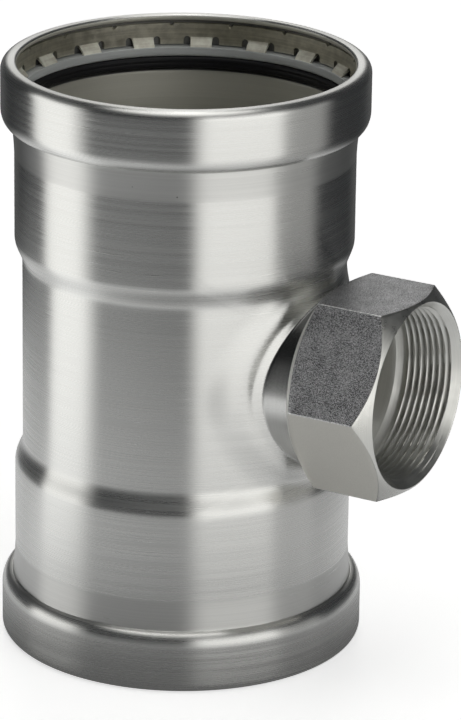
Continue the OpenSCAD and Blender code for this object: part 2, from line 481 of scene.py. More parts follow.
def turned_steel(name, steel, roughness, strength=0.3, metal=1.0):
    """Steel turned about the branch's centre line, with fine tool marks."""
    material, tree, at = new_material(name)
    lines = streaks(tree, at, (3800, 60, 60))
    rough = ramp(tree, noise(tree, at, 220), 0.3, 0.7, roughness * 0.85, roughness * 1.2)
    return finished(material, tint(tree, lines, *shades(steel, 0.9, 1.08)), metal, rough,
                    Normal=bumps(tree, (lines, strength, 0.00002)))


def burred_edge_highlight(steel):
    """The bright, slightly ragged line along an edge between two flats: burred steel, made lighter
    and more diffuse as a painted highlight.
    """
    material, tree, at = new_material("burred_edge_highlight")
    chips = noise(tree, at, 1300, 2.0, 0.7)
    base = tint(tree, ramp(tree, chips, 0.42, 0.58), shade(steel, 1.1), (0.95, 0.95, 0.94, 1))
    return finished(material, base, 0.6, 0.35, Normal=bumps(tree, (chips, 0.8, 0.0002)))


def spring_steel(name, steel, roughness, metal):
    """Satin strip with streaks along the ring, rubbed bright in places."""
    material, tree, at = new_material(name)
    rub = times(tree, ramp(tree, noise(tree, at, 700, 2.0, 0.6, 1.5), 0.60, 0.70),
                ramp(tree, noise(tree, at, 40, 1.0), 0.5, 0.62))
    mix = times(tree, streaks(tree, at, (30, 30, 1500), 3.0, 0.6), 0.5,
                times(tree, noise(tree, at, 330, 3.0, 0.6), 0.5))
    base = tint(tree, ramp(tree, mix, 0.35, 0.65), *shades(steel, 0.82, 1.14))
    base = tint(tree, times(tree, rub, 0.6), base, shade(steel, 2.2))
    rough = times(tree, rub, -0.12,
                  ramp(tree, mix, 0.3, 0.7, roughness * 0.85, roughness * 1.2))
    return finished(material, base, metal, rough,
                    Normal=bumps(tree, (mix, 0.25, 0.00006), (rub, 0.5, 0.0001)))


def separator_plastic(colour_value):
    """Satin moulded ring with a faint flow pattern."""
    material, tree, at = new_material("separator_ring")
    flow = streaks(tree, at, (40, 40, 500), 3.0)
    fine = noise(tree, at, 1500)
    base = tint(tree, ramp(tree, flow, 0.3, 0.7), *shades(colour_value, 1.05, 1.25))
    return finished(material, base, 0.0, ramp(tree, fine, 0.3, 0.7, 0.38, 0.5),
                    Normal=bumps(tree, (fine, 0.2, 0.00004)))


def seal_rubber(colour_value):
    """Moulded rubber, lightly greased."""
    material, tree, at = new_material("seal_rubber")
    smear = noise(tree, at, 90, 3.0)
    base = tint(tree, smear, *shades(colour_value, 0.35, 0.6))
    return finished(material, base, 0.0, ramp(tree, smear, 0.35, 0.65, 0.36, 0.5),
                    Specular_IOR_Level=0.25,
                    Normal=bumps(tree, (noise(tree, at, 1800), 0.12, 0.00004)))


# Run body

WINDOW_LOW = 56.0        # the neck's patch starts this far above the rim
WINDOW_TURN = 56.25      # and reaches this many degrees to either side of the branch
PATCH_RINGS = 26         # rings of faces from the patch's edge to the neck's blend
BLEND_RINGS = 12         # rings across the blend
NECK_RINGS = 4           # rings along the neck
CLOSE_WIDTH = 7.0        # over this width the wall rises above and below the neck
CREASE_DIP = 0.5         # depth of the crease over the neck
CREASE_REACH = 3.6       # the crease starts this far outside its radius
CREASE_WIDTH = 4.8       # and deepens over this width
TOE_SLOPE = 0.3          # how steeply the wall turns up inside the crease
INNER_BEND = 2.2, 1.6    # how much wider and higher the bend is on the inside
LIP_ROWS = 3             # rows of the upper lip that are finished as the inside is
TOOL_LINE = 28.4         # height of a fine mark left in the guide by the forming tool
BRUSHED, BORED, SOCKET, NECK = range(4)      # the run's materials


def run_radius(s, z, inside):
    """Radius of the tube's outside or inside, between the two guides."""
    z = min(z, s.run_length - z)
    wide, narrow = (s.guide_in, s.mid_r - s.wall) if inside else (s.guide_r, s.mid_r)
    t = held((z - s.guide_depth) / s.shoulder_length)
    return wide + (narrow - wide) * (1 - cos(pi * t)) / 2


def window_heights(s):
    """Heights of the rows between the two edges of the neck's patch, closer on a shoulder."""
    step_end = s.guide_depth + s.shoulder_length
    low = [WINDOW_LOW, (WINDOW_LOW + s.guide_depth) / 2, s.guide_depth]
    low += spread(s.guide_depth, step_end, 14)
    middle = spread(step_end, s.run_length - step_end, 24)[:-1]
    return low + middle + [s.run_length - z for z in reversed(low)]


def flared(s, z):
    """How much wider the guide is at a height, next to the collar."""
    t = (s.flare_end - z) / (s.flare_end - s.collar_height - 0.9)
    return s.flare * held(t) ** 1.3


def end_outside(s):
    """One end's outside, from the lip's edge over the rim to the start of the patch."""
    bead = s.wall / 2
    rows = arc(s.lip_r + bead, bead, bead, 180, 270, 6)
    rows += arc(s.collar_r - s.rim_bend, s.rim_bend, s.rim_bend, -90, 0, 12)
    rows += [(s.collar_r, z) for z in spread(s.rim_bend, s.collar_height - s.heel_rise, 4)[:-1]]
    rows += [(s.collar_r - s.heel_bend * (1 - cos(radians(turn))),
              s.collar_height - s.heel_rise * (1 - sin(radians(turn))))
             for turn in range(0, 85, 6)]
    rows += arc(s.guide_r + s.flare + 0.45, s.collar_height + 0.25, 0.45, -75, -174, 7)
    rows += [(s.guide_r + flared(s, z), z)
             for z in spread(s.collar_height + 0.4, s.flare_end, 10)]
    rows += [(s.guide_r, z) for z in spread(s.flare_end, WINDOW_LOW, 6)[:-1]]
    return rows


def end_inside(s):
    """One end's inside, from the lip's edge to the start of the patch."""
    bead = s.wall / 2
    rows = arc(s.lip_r + bead, bead, bead, 180, 90, 6)[1:]
    rows += arc(s.collar_in - 1, s.wall + 1, 1, -90, 0, 4)
    rows += arc(s.collar_in - 1.3, s.heel_z - 1.3, 1.3, 0, 90, 4)
    rows += arc(s.guide_in + s.flare + 1.5, s.heel_z + 1.5, 1.5, -90, -174, 10)
    mark = ((-1.0, 0), (-0.3, 0), (0, 0.03), (0.3, 0), (1.0, 0))
    guide = [(z, 0) for z in spread(s.heel_z + 1.7, TOOL_LINE - 1.0, 6)[:-1]]
    guide += [(TOOL_LINE + dz, dip) for dz, dip in mark]
    guide += [(z, 0) for z in spread(TOOL_LINE + 1.0, s.flare_end, 3)]
    rows += [(s.guide_in + flared(s, z) - dip, z) for z, dip in guide]
    rows += [(s.guide_in, z) for z in spread(s.flare_end, WINDOW_LOW, 4)[:-1]]
    return rows


def neck_patch(s, b, verts, edge, inside):
    """Rings of points from the patch's edge in to the neck and out along it.

    edge holds the indices of the patch's edge points, anticlockwise seen from outside.
    Returns the rings of indices. Each point's line keeps its direction about the branch.
    """
    neck = b.neck_r - (b.neck_wall if inside else 0.0)
    end = b.reach - b.sleeve_length
    polar = [(hypot(y, z - s.half), atan2(z - s.half, y))
             for _, y, z in (verts[i] for i in edge)]

    def surface(r, t):
        """How far out the run's wall lies at a distance and an angle about the branch.

        It is drawn up a little round the neck, and creased along its upper half.
        """
        radius = run_radius(s, s.half + r * sin(t), inside)
        lift = b.foot_lift * (eased(r, b.foot_r, b.crown_r) * cos(t) ** 2
                              + eased(r, b.close_r, b.close_r - CLOSE_WIDTH) * sin(t) ** 2)
        upper = held(0.62 + 1.2 * sin(t))
        start = b.crease_r + CREASE_REACH
        lift -= CREASE_DIP * upper * eased(r, start, start - CREASE_WIDTH)
        toe = max(b.crease_r - r, 0.0)
        lift += TOE_SLOPE * (toe * min(toe, 1.0) + max(toe - 1.0, 0.0)) * (0.4 + 0.6 * upper)
        return sqrt(radius * radius - (r * cos(t)) ** 2) + lift

    def blend(t):
        """The blend's start on the tube, its corner and its end on the neck."""
        bend = b.neck_bend - 0.2 * cos(t) ** 2
        width, up = [bend + (more if inside else 0.0) for more in INNER_BEND]
        foot = neck + width
        slope = (surface(foot + 0.05, t) - surface(foot - 0.05, t)) / 0.1
        corner = surface(foot, t) - slope * width
        return (foot, surface(foot, t)), (neck, corner), (neck, corner + up)

    rings = [list(edge)]
    shapes = [blend(t) for _, t in polar]

    def add_ring(points):
        start = len(verts)
        for (_, t), (r, x) in zip(polar, points):
            verts.append((x, r * cos(t), s.half + r * sin(t)))
        rings.append(list(range(start, start + len(points))))

    for k in range(1, PATCH_RINGS + 1):
        u = (1 - k / PATCH_RINGS) ** 1.5
        radii = [foot[0] + (outer - foot[0]) * u
                 for (outer, _), (foot, _, _) in zip(polar, shapes)]
        add_ring([(r, surface(r, t)) for r, (_, t) in zip(radii, polar)])
    for k in range(1, BLEND_RINGS + 1):
        u = k / BLEND_RINGS
        add_ring([tuple(p * (1 - u) ** 2 + q * 2 * u * (1 - u) + w * u * u
                        for p, q, w in zip(*shape)) for shape in shapes])
    for k in range(1, NECK_RINGS + 1):
        add_ring([(neck, x + (end - x) * k / NECK_RINGS) for _, _, (_, x) in shapes])
    return rings


def bridge(rings, flip=False):
    """Quads between neighbouring closed rings of points."""
    faces = []
    for a, b in zip(rings, rings[1:]):
        n = len(a)
        for j in range(n):
            k = (j + 1) % n
            face = (a[j], a[k], b[k], b[j])
            faces.append(face[::-1] if flip else face)
    return faces


def run_mesh(s, b):
    """Points and faces of the tube with its neck, and each face's material."""
    n = s.columns
    reach = round(WINDOW_TURN / 360 * n)         # columns to either side of the branch
    heights = window_heights(s)
    outside, inside = end_outside(s), end_inside(s)

    def mirrored(rows):
        return [(r, s.run_length - z) for r, z in rows]

    profile = outside + [(run_radius(s, z, False), z) for z in heights]
    profile += mirrored(outside[::-1]) + mirrored(inside)
    profile += [(run_radius(s, z, True), z) for z in reversed(heights)] + inside[::-1]
    verts = [around(r, 2 * pi * c / n, z) for r, z in profile for c in range(n)]
    skin = 2 * len(outside) + len(heights)       # the first row of the inside
    windows = [(first, first + len(heights) - 1) for first in (len(outside), skin + len(inside))]

    def in_window(row, column):
        near = column < reach or column >= n - reach
        return near and any(low <= row < high for low, high in windows)

    faces = rows_to_faces(len(profile), n, in_window)
    kinds = []
    for face in faces:
        row = face[0] // n
        z = min(profile[row][1], s.run_length - profile[row][1])
        # faces behind the rings, and on the bend just past the heel, get the socket's painted shade
        behind = row >= skin and s.wall < z < s.heel_z + 0.5
        kinds.append(SOCKET if behind else BORED if row >= skin - LIP_ROWS else BRUSHED)

    def window_edge(low, high):
        """Indices round the patch's edge; low and high are its rows."""
        step = 1 if high > low else -1
        across = range(-reach, reach)
        ids = [(low, c) for c in across] + [(r, reach) for r in range(low, high, step)]
        ids += [(high, -c) for c in across] + [(r, -reach) for r in range(high, low, -step)]
        return [r * n + c % n for r, c in ids]

    outer, inner = windows
    outer_rings = neck_patch(s, b, verts, window_edge(*outer), False)
    inner_rings = neck_patch(s, b, verts, window_edge(*inner[::-1]), True)
    bent = PATCH_RINGS + BLEND_RINGS // 3
    for rings, flip, kind in ((outer_rings[:bent + 1], False, BRUSHED),
                              (outer_rings[bent:], False, NECK), (inner_rings, True, BORED),
                              ([outer_rings[-1], inner_rings[-1]], False, BORED)):
        patch = bridge(rings, flip)
        faces += patch
        kinds += [kind] * len(patch)
    return verts, faces, kinds


class TEE_OT_build_run(bpy.types.Operator):
    """Build the run: tube, sockets, rims and the neck drawn out of its side"""
    bl_idname = "tee.build_run"
    bl_label = "Build run"

    def execute(self, context):
        s = run_shape(in_mm(context.scene.tee_run))
        verts, faces, kinds = run_mesh(s, in_mm(context.scene.tee_branch))
        formed = (s.half * MM, (s.half - s.flare_end) * MM, (s.half - s.collar_height) * MM)
        materials = [brushed_tube("brushed_outside", s.steel, 0.27, 0.15, 0.93, 1.0, formed),
                     brushed_tube("brushed_inside", warmed(s.steel, 0.9), 0.5, 0.4, 0.6, 0.4),
                     socket_shadow(s.steel), drawn_neck(s.steel, s.half * MM)]
        piece = new_piece("run_body", verts, faces, materials, kinds, sharp=40)
        settle(piece, "run_steel", "tee_body")
        return {"FINISHED"}


# Branch sleeve

MOUTH_SLOPE = 0.839      # how far the mouth's chamfer runs back for its height
BACK_SLOPE = 0.5         # the same for the back's chamfer
SINK_SLOPE = 1.19        # depth of the countersink for its width
BACK_CHAMFER = 1.1       # how far the back's chamfer goes in from the flats
MOUTH_CHAMFER = 0.66     # how far the mouth's goes in
MOUTH_RIM = 0.34         # width of the flat ring between it and the countersink
BROKEN = 0.06            # how far a sharp edge is broken
THREAD_ROWS = 13         # rows of faces to a turn of the thread
FLATS, TURNED, THREAD, EDGE, UNDER, BORE = range(6)      # the sleeve's materials


def hexagon(apothem, corner_round, turn):
    """Distance from the centre to a hexagon with rounded corners, turn degrees round.

    Corners lie at multiples of 60 degrees.
    """
    off = abs((turn + 30) % 60 - 30)
    centre = (apothem - corner_round) / cos(radians(30))
    reach = corner_round ** 2 - (centre * sin(radians(off))) ** 2
    edge = atan2(corner_round / 2, centre + corner_round * cos(radians(30)))
    if radians(off) < edge and reach > 0:
        return centre * cos(radians(off)) + sqrt(reach)
    return apothem / cos(radians(30 - off))


def sleeve_columns():
    """Angles round the sleeve, close together at the hexagon's corners."""
    near = (-0.46, -0.3, -0.12, 0.12, 0.3, 0.46, *range(1, 60))
    return sorted((corner + d) % 360 for corner in range(0, 360, 60) for d in near)


def sleeve_mesh(s, b):
    """Points, faces, each face's material, which points are threaded, and the thread's end."""
    apothem = b.flats / 2
    back_x, back_r = b.reach - b.sleeve_length, apothem - BACK_CHAMFER
    face_r = apothem - MOUTH_CHAMFER
    sink_r = face_r - MOUTH_RIM
    thread_x = b.reach - (sink_r - b.crest_r) * SINK_SLOPE
    relief_x = thread_x - b.thread_length
    relief_r, bore_r = b.root_r + 0.3, b.crest_r - 0.13
    turns = sleeve_columns()
    n = len(turns)

    def rows(kind, *points, threaded=0):
        return [(x, r, threaded, kind) for x, r in points]

    def outside(hexa):
        """Rows over the outside, from the back to the mouth, for one distance of the flat."""
        back = back_x + (hexa - back_r) * BACK_SLOPE
        front = b.reach - (hexa - face_r) * MOUTH_SLOPE
        flat = [(x, hexa) for x in spread(back + BROKEN, front - BROKEN, 14)[:-1]]
        return (rows(TURNED, (back_x, bore_r + 0.5), (back_x, back_r - 0.12),
                     (back_x + 0.08, back_r),
                     *between((back_x, back_r), (back, hexa), (0.3, 0.6, 0.88)),
                     (back - 0.05, hexa - BROKEN))
                + rows(FLATS, (back + BROKEN, hexa), *flat)
                + rows(TURNED, (front - BROKEN, hexa), (front + 0.05, hexa - 0.05),
                       *between((front, hexa), (b.reach, face_r), (0.2, 0.5, 0.8)),
                       (b.reach - BROKEN, face_r), (b.reach, face_r - 0.07),
                       (b.reach, sink_r + BROKEN)))

    # inwards from the mouth: countersink, thread, relief and bore
    sink = [(x, sink_r + (x - b.reach) / SINK_SLOPE) for x in spread(b.reach, thread_x, 18)
            if x < b.reach - 0.05]
    steps = round((thread_x - relief_x) / b.pitch * THREAD_ROWS)
    crests = [(x, b.crest_r) for x in spread(thread_x, relief_x + 0.01, steps)]
    bore = [(x, bore_r) for x in spread(relief_x - 4.3, back_x + 0.3, 4)]
    inside = rows(TURNED, *sink, threaded=1) + rows(THREAD, *crests, threaded=1)
    inside += rows(BORE, (relief_x - 0.02, relief_r - 0.05), (relief_x - 0.12, relief_r),
                   (relief_x - 2.2, relief_r), (relief_x - 2.5, relief_r - 0.08),
                   (relief_x - 4.2, bore_r + 0.05), (relief_x - 4.3, bore_r), *bore)
    inside += rows(TURNED, (back_x, bore_r + 0.3))

    columns = [outside(hexagon(apothem, b.corner_round, turn)) + inside for turn in turns]
    verts, marks = [], []
    for row in zip(*columns):
        for turn, (x, r, threaded, _) in zip(turns, row):
            verts.append((x, r * cos(radians(turn)), s.half + r * sin(radians(turn))))
            marks.append(threaded)
    faces = rows_to_faces(len(columns[0]), n)
    kinds = []
    for i in range(len(faces)):
        row, c = divmod(i, n)
        kind = columns[0][row][3]
        if kind == FLATS and abs((turns[c] + 30.2) % 60 - 30) < 0.4:
            kind = EDGE
        # flats facing down get a smoother, lighter copy of the steel: its extra lightness is
        # painted light from the floor
        elif kind == FLATS and turns[c] >= 180:
            kind = UNDER
        kinds.append(kind)
    return verts, faces, kinds, marks, relief_x


def new_tree(name, inputs):
    """A Geometry Nodes tree with named number inputs, and what its input node gives."""
    tree = bpy.data.node_groups.new(name, "GeometryNodeTree")

    def socket(label, way, kind):
        return tree.interface.new_socket(label, in_out=way, socket_type="NodeSocket" + kind)

    socket("Geometry", "INPUT", "Geometry")
    for label, value in inputs.items():
        kind = "Int" if isinstance(value, int) else "Float"
        socket(label, "INPUT", kind).default_value = value
    socket("Geometry", "OUTPUT", "Geometry")
    return tree, add(tree, "NodeGroupInput").outputs


def marked(tree, name):
    """The mark that each point carries under that name."""
    return add(tree, "GeometryNodeInputNamedAttribute", {"Name": name},
               data_type="FLOAT").outputs["Attribute"]


def vector(tree, x=0.0, y=0.0, z=0.0):
    """A vector of three numbers, each given or from a node."""
    return add(tree, "ShaderNodeCombineXYZ", {0: x, 1: y, 2: z}).outputs[0]


def thread_tree(material):
    """Geometry Nodes: cuts a helical thread into the marked points of a bore along X."""
    tree, given = new_tree("Cut thread", {"Pitch": 0.0023, "Crest radius": 0.0283,
                                          "Root radius": 0.0298, "Axis height": 0.1,
                                          "End": 0.07})
    x, y, z = axes(tree, add(tree, "GeometryNodeInputPosition").outputs[0])
    up = math(tree, "SUBTRACT", z, given["Axis height"])
    turn = math(tree, "DIVIDE", math(tree, "ARCTAN2", up, y), 2 * pi)
    turns = math(tree, "DIVIDE", x, given["Pitch"])
    phase = math(tree, "FRACT", math(tree, "SUBTRACT", turns, turn))
    flank = math(tree, "ABSOLUTE", math(tree, "SUBTRACT", times(tree, phase, 2.0), 1.0))
    groove = ramp(tree, flank, 0.06, 0.94, smooth=False)
    depth = math(tree, "SUBTRACT", given["Root radius"], given["Crest radius"])
    cut = times(tree, groove, depth, given["Crest radius"])
    radius = math(tree, "SQRT", math(tree, "ADD", times(tree, up, up), times(tree, y, y)))
    scale = math(tree, "DIVIDE", math(tree, "MAXIMUM", cut, radius), radius)
    place = vector(tree, x, times(tree, y, scale), times(tree, up, scale, given["Axis height"]))
    beyond = math(tree, "GREATER_THAN", x, given["End"])
    wanted = math(tree, "GREATER_THAN", times(tree, marked(tree, "threaded"), beyond), 0.5)
    moved = add(tree, "GeometryNodeSetPosition",
                {"Geometry": given["Geometry"], "Selection": wanted, "Position": place})
    plain = add(tree, "GeometryNodeRealizeInstances", {"Geometry": moved.outputs[0]})
    coloured = add(tree, "GeometryNodeSetMaterial",
                   {"Geometry": plain.outputs[0], "Selection": wanted, "Material": material})
    add(tree, "NodeGroupOutput", {"Geometry": coloured.outputs[0]})
    return tree


def bake_nodes(piece, tree, values, sharp):
    """Runs a Geometry Nodes tree on the piece and keeps its result as a plain mesh."""
    modifier = piece.modifiers.new(tree.name, "NODES")
    modifier.node_group = tree
    for item in tree.interface.items_tree:
        if item.item_type == "SOCKET" and item.in_out == "INPUT" and item.name in values:
            modifier[item.identifier] = values[item.name]
    depsgraph = bpy.context.evaluated_depsgraph_get()
    mesh = bpy.data.meshes.new_from_object(piece.evaluated_get(depsgraph),
                                           preserve_all_data_layers=True, depsgraph=depsgraph)
    piece.modifiers.remove(modifier)
    old, piece.data = piece.data, mesh
    bpy.data.meshes.remove(old)
    mesh.name = piece.name
    finish_shading(mesh, sharp)


class TEE_OT_build_sleeve(bpy.types.Operator):
    """Build the hexagonal branch sleeve and cut its thread"""
    bl_idname = "tee.build_sleeve"
    bl_label = "Build sleeve"

    def execute(self, context):
        s = run_shape(in_mm(context.scene.tee_run))
        b = in_mm(context.scene.tee_branch)
        verts, faces, kinds, marks, thread_end = sleeve_mesh(s, b)
        steel, bright = b.steel, shade(b.weld, 0.95)
        thread = turned_steel("cut_thread", bright, 0.34, 0.15)
        materials = [drawn_flats("drawn_flats", *shades(steel, 0.12, 1.5), 0.88, 1.0),
                     turned_steel("turned_faces", bright, 0.3), thread, burred_edge_highlight(steel),
                     # the lower flats: rubbed smooth, and lighter as painted light from the floor
                     # below
                     drawn_flats("rubbed_flats_painted_light", warmed(steel, 1.6), warmed(steel, 1.72), 0.5, 0.1),
                     # the bore: a lighter, more diffuse copy of the turned steel, its extra
                     # lightness painted light
                     turned_steel("bored_wall_painted_light", shade(bright, 1.2), 0.45, 0.3, 0.6)]
        piece = new_piece("branch_sleeve", verts, faces, materials, kinds,
                          marks={"threaded": marks})
        bake_nodes(piece, thread_tree(thread),
                   {"Pitch": b.pitch * MM, "Crest radius": b.crest_r * MM,
                    "Root radius": b.root_r * MM, "Axis height": s.half * MM,
                    "End": thread_end * MM}, 36)
        settle(piece, "sleeve_steel", "threaded_sleeve")
        return {"FINISHED"}


class TEE_OT_build_weld(bpy.types.Operator):
    """Build the weld bead between the neck and the sleeve"""
    bl_idname = "tee.build_weld"
    bl_label = "Build weld"

    def execute(self, context):
        b = in_mm(context.scene.tee_branch)
        s = run_shape(in_mm(context.scene.tee_run))
        end = b.reach - b.sleeve_length
        foot, toe = b.neck_r - 0.05, end - b.weld_width      # just inside the neck's wall
        profile = [(foot, end - 0.02), (foot, toe)]
        profile += [(b.neck_r + b.weld_height * sin(radians(t)), toe + 0.9 * (1 - cos(radians(t))))
                    for t in range(0, 91, 10)]
        profile += [(b.neck_r + b.weld_height, end - 0.02)]
        bead = turned_steel("weld_bead", shade(b.weld, 1.3), 0.5, 0.3, 0.5)
        piece = ring_piece("weld_bead", profile[::-1], bead, 240, branch=s.half)
        settle(piece, "weld_steel", "branch_weld")
        return {"FINISHED"}


# Rings in the sockets

NICK_R = 0.8             # radius of the nicks in a cutting ring's edge
BAND_STEPS = 5           # faces up the band, and up the skirt over it
TAB_STEPS = 8            # faces across a tab


def ring_shape(run, rings):
    """Adds the heights, radii and angles of the rings in the lower socket."""
    g = rings
    g.collar_in, g.guide_in, g.heel_z = run.collar_in, run.guide_in, run.heel_z
    g.seal_z = g.heel_z - g.seal_height
    g.separator_z = g.seal_z - g.separator_height
    g.window_z = g.separator_z - 3.0
    g.cutter_z = g.separator_z - g.cutter_height
    g.cutter_r = g.collar_in - 0.1
    g.cutter_in = g.cutter_r - g.cutter_thickness
    g.mid_r = (g.cutter_r + g.cutter_in) / 2
    g.pitch = 2 * pi / g.tab_count
    g.tab = g.tab_width / 2 / g.cutter_in
    g.slot = g.slot_width / g.cutter_in
    g.nick = NICK_R / g.mid_r
    return g


def meets_next(g, end):
    """Whether a share of a cutting ring ends where the next one starts."""
    return abs(abs(end) - g.pitch / 2) < 1e-6


def cutter_band(g, start, end):
    """Points and faces of the band, with round-topped slots on both sides of the tab.

    Half a nick lies at an end that meets the next share. Any other end is closed.
    """
    verts, faces = [], []
    tab, slot, nick = g.tab, g.slot, g.nick
    slot_r = g.slot_width / 2
    centre_z = g.window_z + slot_r - 0.3
    top = BAND_STEPS + 1

    def low(t):
        """The rim-side edge, with its nicks."""
        for side in (start, end):
            off = abs(t - side)
            if meets_next(g, side) and off < nick - 1e-9:
                return g.cutter_z + sqrt(NICK_R ** 2 - (off * g.mid_r) ** 2)
        return g.cutter_z

    def high(t):
        """The edge of the windows, with its slots."""
        off = abs(abs(t) - tab - slot / 2) * g.mid_r
        return centre_z - (sqrt(slot_r ** 2 - off ** 2) if off < slot_r * 0.999 else 0.0)

    def column(t, low_z, high_z):
        first = len(verts)
        verts.extend(around(r, t, low_z + (high_z - low_z) * k / BAND_STEPS)
                     for r in (g.cutter_in, g.cutter_r) for k in range(top))
        return first

    def panel(a, b):
        """Faces of both skins between two columns."""
        for k in range(BAND_STEPS):
            faces.append((a + k, a + k + 1, b + k + 1, b + k))
            faces.append((a + top + k, b + top + k, b + top + k + 1, a + top + k + 1))

    def wall(first, flip):
        """Closes the side of a column."""
        for k in range(BAND_STEPS):
            face = (first + k, first + k + top, first + k + 1 + top, first + k + 1)
            faces.append(face[::-1] if flip else face)

    turns = [start] + [start + nick * k / 4 for k in range(1, 5)]
    for a, b, steps in ((start + nick, -tab - slot, 4), (-tab - slot, -tab, 10), (-tab, tab, 8),
                        (tab, tab + slot, 10), (tab + slot, end - nick, 4)):
        turns += spread(a, b, steps)
    turns += [end - nick * k / 4 for k in (3, 2, 1, 0)]
    last = len(turns) - 1
    plain = [abs(t) > tab + slot - 1e-6 for t in turns]
    band = [column(t, low(t), high(t)) for t in turns]
    skirt = {i: column(t, centre_z, g.separator_z - 0.5)
             for i, t in enumerate(turns) if plain[i]}
    for i in range(last):
        a, b = band[i], band[i + 1]
        panel(a, b)
        faces.append((a, b, b + top, a + top))
        if plain[i] and plain[i + 1]:
            a, b = skirt[i], skirt[i + 1]
            panel(a, b)
        a, b = a + BAND_STEPS, b + BAND_STEPS
        faces.append((a, a + top, b + top, b))
    for i in skirt:
        if 0 < i < last and not (plain[i - 1] and plain[i + 1]):
            wall(skirt[i], plain[i - 1])
    for side, i in ((start, 0), (end, last)):
        if not meets_next(g, side):
            wall(band[i], i > 0)
            wall(skirt[i], i > 0)
    return verts, faces


def cutter_tab(g):
    """Points and faces of a tab: a strip bent in and down from the band to the separator."""
    tip, band, up = g.guide_in + 0.75, g.cutter_in, g.window_z
    section = [(band - 0.02, up - 0.1), (band - 0.05, up + 0.35), (band - 0.35, up + 0.75),
               (band - 1.05, up + 1.35), (tip + 0.55, up + 2.2),
               (tip + 0.12, g.separator_z - 0.25), (tip + 0.02, g.separator_z),
               (tip + 0.95, g.separator_z), (tip + 1.25, up + 2.3), (band - 0.25, up + 1.75),
               (band + 0.55, up + 1.1), (g.cutter_r - 0.1, up + 0.5), (g.cutter_r - 0.1, up - 0.1)]
    m, last = len(section), TAB_STEPS * len(section)
    verts = [around(r, -g.tab + 2 * g.tab * k / TAB_STEPS, z)
             for k in range(TAB_STEPS + 1) for r, z in section]
    faces = [(a + j, a + (j + 1) % m, a + m + (j + 1) % m, a + m + j)
             for a in range(0, last, m) for j in range(m)]
    return verts, faces + [tuple(range(m))[::-1], tuple(range(last, last + m))]


def cutter_burr(g, end):
    """Points and faces of a burr thrown up beside the nick."""
    spots = ((0, 0, 0.1), (0.35, 0, 0.2), (0.9, 0, 1.35), (0.1, 0, 0.9), (0.25, 0.32, 0.35),
             (0.7, 0.22, 1.15))
    verts = [around(g.cutter_in - proud, end - g.nick * 1.2 + along / g.mid_r, g.cutter_z + z)
             for along, proud, z in spots]
    return verts, [(0, 3, 2, 1), (0, 1, 4), (1, 2, 5, 4), (2, 3, 5), (3, 0, 4, 5)]


def cutter_share(g, start, end):
    """One tab's share of a cutting ring, between two angles from the tab's middle.

    Returns its parts as (points, faces, 1 if it is the tab).
    """
    parts = [(*cutter_band(g, start, end), 0), (*cutter_tab(g), 1)]
    if meets_next(g, end):
        parts.append((*cutter_burr(g, end), 0))
    return parts


def cutter_tree(strip, tabs):
    """Geometry Nodes: sets shares of a cutting ring round its axis and welds them together.

    Points marked 0 are a whole share, repeated. 1 and 2 are the shares at the split.
    """
    tree, given = new_tree("Cutting ring", {"Tabs": 18, "Turn": 0.0, "Flip": 0.0, "Height": 0.0})
    pitch = math(tree, "DIVIDE", 2 * pi, given["Tabs"])
    mark = marked(tree, "share")

    def node(kind, geometry, **inputs):
        return add(tree, "GeometryNode" + kind, {"Geometry": geometry} | inputs).outputs[0]

    def turned(geometry, turn):
        return node("Transform", geometry, Rotation=vector(tree, z=turn))

    def share(number):
        same = math(tree, "COMPARE", mark, float(number), 0.1)
        return node("SeparateGeometry", given["Geometry"], Selection=same)

    count = math(tree, "SUBTRACT", given["Tabs"], 2.0)
    index = add(tree, "GeometryNodeInputIndex").outputs[0]
    spin = vector(tree, z=times(tree, math(tree, "ADD", index, 1.5), pitch))
    repeated = add(tree, "GeometryNodeInstanceOnPoints",
                   {"Points": add(tree, "GeometryNodePoints", {"Count": count}).outputs[0],
                    "Instance": share(0), "Rotation": spin}).outputs[0]
    joined = add(tree, "GeometryNodeJoinGeometry")
    for part in (repeated, turned(share(1), times(tree, pitch, 0.5)),
                 turned(share(2), times(tree, pitch, -0.5))):
        tree.links.new(part, joined.inputs[0])
    ring = node("RealizeInstances", joined.outputs[0])
    ring = turned(node("MergeByDistance", ring, Distance=2e-6), given["Turn"])
    ring = node("Transform", ring, Translation=vector(tree, z=given["Height"]),
                Rotation=vector(tree, x=given["Flip"]))
    ring = node("SetMaterial", ring, Material=strip)
    on_tab = math(tree, "GREATER_THAN", marked(tree, "tab"), 0.5)
    ring = node("SetMaterial", ring, Material=tabs, Selection=on_tab)
    add(tree, "NodeGroupOutput", {"Geometry": ring})
    return tree


class TEE_OT_build_cutting_rings(bpy.types.Operator):
    """Build the two cutting rings with their spring tabs"""
    bl_idname = "tee.build_cutting_rings"
    bl_label = "Build cutting rings"

    def execute(self, context):
        run = run_shape(in_mm(context.scene.tee_run))
        g = ring_shape(run, in_mm(context.scene.tee_rings))
        # the tabs are a lighter, more diffuse copy of the strip's steel: painted light where they
        # tilt up towards the light
        tree = cutter_tree(spring_steel("spring_strip", shade(g.cutter, 1.35), 0.36, 1.0),
                           spring_steel("bent_tabs_painted_light", shade(g.cutter, 1.9), 0.55, 0.6))
        half = g.pitch / 2
        cut = asin(g.split_gap / 2 / g.cutter_in)
        shares = ((-half, half), (cut - half, half), (-half, half - cut))
        verts, faces, marks, tabs = [], [], [], []
        for number, ends in enumerate(shares):
            for points, quads, on_tab in cutter_share(g, *ends):
                faces += [tuple(i + len(verts) for i in quad) for quad in quads]
                verts += points
                marks += [number] * len(points)
                tabs += [on_tab] * len(points)
        for end, turn, flip, height in (("upper", g.upper_turn, pi, run.run_length),
                                        ("lower", g.lower_turn, 0.0, 0.0)):
            piece = new_piece(end + "_cutter", verts, faces, [],
                              marks={"share": marks, "tab": tabs})
            bake_nodes(piece, tree, {"Tabs": g.tab_count, "Turn": turn, "Flip": flip,
                                     "Height": height * MM}, 30)
            settle(piece, "cutter_steel", end + "_cutting_ring")
        return {"FINISHED"}


